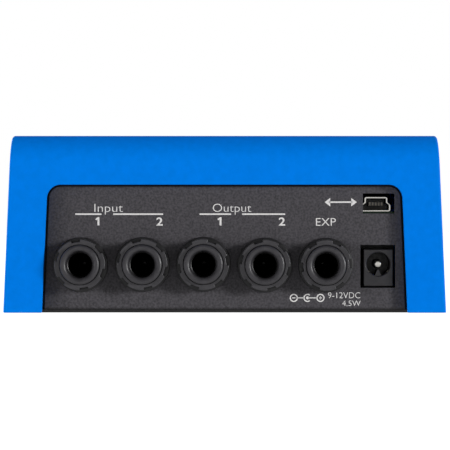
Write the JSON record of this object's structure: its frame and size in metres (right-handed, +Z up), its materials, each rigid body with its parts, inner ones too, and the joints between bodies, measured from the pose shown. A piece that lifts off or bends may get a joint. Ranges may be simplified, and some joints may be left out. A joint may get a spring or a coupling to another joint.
{
  "type": "preamp pedal",
  "caption": "Wedge-shaped audio preamp pedal: blue cast cover, dark recessed rear panel with jacks, USB and supply sockets, knob, display, buttons and footswitches on the sloped top.",
  "frame": {"origin": "on the surface it stands on, under the middle of the whole object's box in X and Y", "axes": "+Z up, +Y out of the rear panel, +X to the right of the person using it, who faces along +Y"},
  "size_m": [0.1178, 0.1362, 0.0479],
  "materials": {
    "blue_paint": "bright blue powder coat, satin, with a fine even texture",
    "dark_powder_coat": "dark grey powder coat, matt, finely speckled",
    "black_plastic": "moulded black nylon, satin",
    "soft_black_plastic": "black moulded plastic, matt",
    "zinc_steel": "zinc-plated steel",
    "nickel": "bright nickel plate",
    "brass": "turned brass",
    "aluminium": "spun aluminium, anodised clear",
    "circuit_board": "green solder resist on glass-fibre laminate",
    "nylon": "natural nylon",
    "ribbon_plastic": "grey ribbed ribbon insulation",
    "diffuser": "milky light guide, unlit",
    "display_glass": "dark tinted acrylic, polished",
    "label_ink": "light grey screen-printed ink"
  },
  "bodies": {
    "root": {"top_cover": "blue_paint", "chassis_tray": "dark_powder_coat", "cover_screw_front_left": "zinc_steel", "cover_screw_front_right": "zinc_steel", "cover_screw_rear_left": "zinc_steel", "cover_screw_rear_right": "zinc_steel", "jack_body_input_1": "black_plastic", "jack_nut_input_1": "black_plastic", "jack_contact_input_1": "nickel", "jack_body_input_2": "black_plastic", "jack_nut_input_2": "black_plastic", "jack_contact_input_2": "nickel", "jack_body_output_1": "black_plastic", "jack_nut_output_1": "black_plastic", "jack_contact_output_1": "nickel", "jack_body_output_2": "black_plastic", "jack_nut_output_2": "black_plastic", "jack_contact_output_2": "nickel", "jack_body_expression": "black_plastic", "jack_nut_expression": "black_plastic", "jack_contact_expression": "nickel", "dc_jack_housing": "black_plastic", "dc_jack_pin": "nickel", "dc_jack_spring": "nickel", "usb_shell": "nickel", "usb_insert": "black_plastic", "usb_board": "circuit_board", "usb_header": "black_plastic", "main_board": "circuit_board", "board_post_front_left": "nylon", "board_post_front_right": "nylon", "board_post_rear_left": "nylon", "board_post_rear_right": "nylon", "processor_chip": "black_plastic", "supply_capacitor": "soft_black_plastic", "ribbon_cable": "ribbon_plastic", "control_board": "circuit_board", "display_window": "display_glass", "display_module": "soft_black_plastic", "button_switch_1": "black_plastic", "button_switch_2": "black_plastic", "button_switch_3": "black_plastic", "button_switch_4": "black_plastic", "encoder_body": "zinc_steel", "encoder_nut": "nickel", "light_ring": "diffuser", "footswitch_body_left": "soft_black_plastic", "footswitch_nut_left": "nickel", "footswitch_body_right": "soft_black_plastic", "footswitch_nut_right": "nickel"},
    "knob_carrier": {"encoder_plunger": "nylon"},
    "knob": {"encoder_shaft": "brass", "main_knob": "soft_black_plastic", "knob_insert": "aluminium"},
    "button_1": {"button_cap_1": "soft_black_plastic"},
    "button_2": {"button_cap_2": "soft_black_plastic"},
    "button_3": {"button_cap_3": "soft_black_plastic"},
    "button_4": {"button_cap_4": "soft_black_plastic"},
    "footswitch_left": {"footswitch_plunger_left": "nickel"},
    "footswitch_right": {"footswitch_plunger_right": "nickel"}
  },
  "joints": [
    {"name": "knob_push", "type": "slide", "parent": "root", "child": "knob_carrier", "axis": [0, 0.1305, -0.9914], "range_m": [0, 0.0005], "stiffness_N_per_m": 6000},
    {"name": "knob_turn", "type": "hinge", "parent": "knob_carrier", "child": "knob", "pos_m": [0.029, -0.00449, 0.04322], "axis": [0, -0.1305, 0.9914], "continuous": true},
    {"name": "button_1_press", "type": "slide", "parent": "root", "child": "button_1", "axis": [0, 0.1305, -0.9914], "range_m": [0, 0.0005], "stiffness_N_per_m": 3000},
    {"name": "button_2_press", "type": "slide", "parent": "root", "child": "button_2", "axis": [0, 0.1305, -0.9914], "range_m": [0, 0.0005], "stiffness_N_per_m": 3000},
    {"name": "button_3_press", "type": "slide", "parent": "root", "child": "button_3", "axis": [0, 0.1305, -0.9914], "range_m": [0, 0.0005], "stiffness_N_per_m": 3000},
    {"name": "button_4_press", "type": "slide", "parent": "root", "child": "button_4", "axis": [0, 0.1305, -0.9914], "range_m": [0, 0.0005], "stiffness_N_per_m": 3000},
    {"name": "footswitch_left_press", "type": "slide", "parent": "root", "child": "footswitch_left", "axis": [0, 0.1305, -0.9914], "range_m": [0, 0.002], "stiffness_N_per_m": 3500},
    {"name": "footswitch_right_press", "type": "slide", "parent": "root", "child": "footswitch_right", "axis": [0, 0.1305, -0.9914], "range_m": [0, 0.002], "stiffness_N_per_m": 3500}
  ]
}
